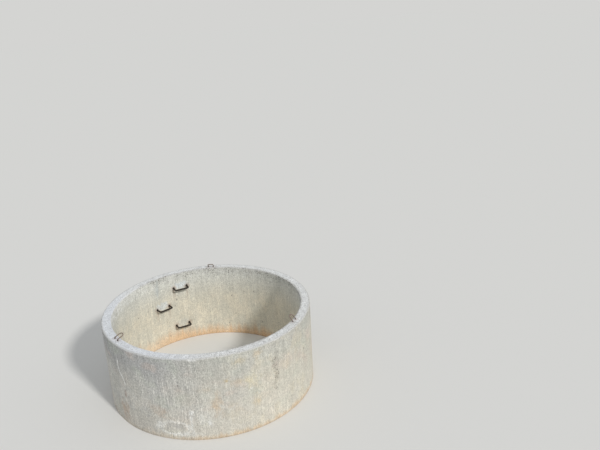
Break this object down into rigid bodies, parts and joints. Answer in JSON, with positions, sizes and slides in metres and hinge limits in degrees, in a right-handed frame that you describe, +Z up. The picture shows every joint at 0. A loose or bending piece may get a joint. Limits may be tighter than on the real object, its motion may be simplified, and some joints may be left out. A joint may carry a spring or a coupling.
{
  "type": "concrete culvert ring",
  "caption": "Open precast concrete ring for a culvert well or manhole, with staggered step irons in its bore and bent lifting loops on its rim.",
  "frame": {"origin": "middle of the foot, on the axis of the ring", "axes": "+Z up along the axis of the ring; +Y from the axis towards the middle of the climb, halfway between the two columns of step irons"},
  "size_m": [2.2, 2.2, 0.9515],
  "materials": {
    "concrete": "matte",
    "rusty_bar": "matte"
  },
  "bodies": {
    "root": {"concrete_ring": "concrete", "step_iron_upper": "rusty_bar", "step_iron_middle": "rusty_bar", "step_iron_lower": "rusty_bar", "lifting_loop_back": "rusty_bar", "lifting_loop_left": "rusty_bar", "lifting_loop_front": "rusty_bar"}
  },
  "joints": []
}
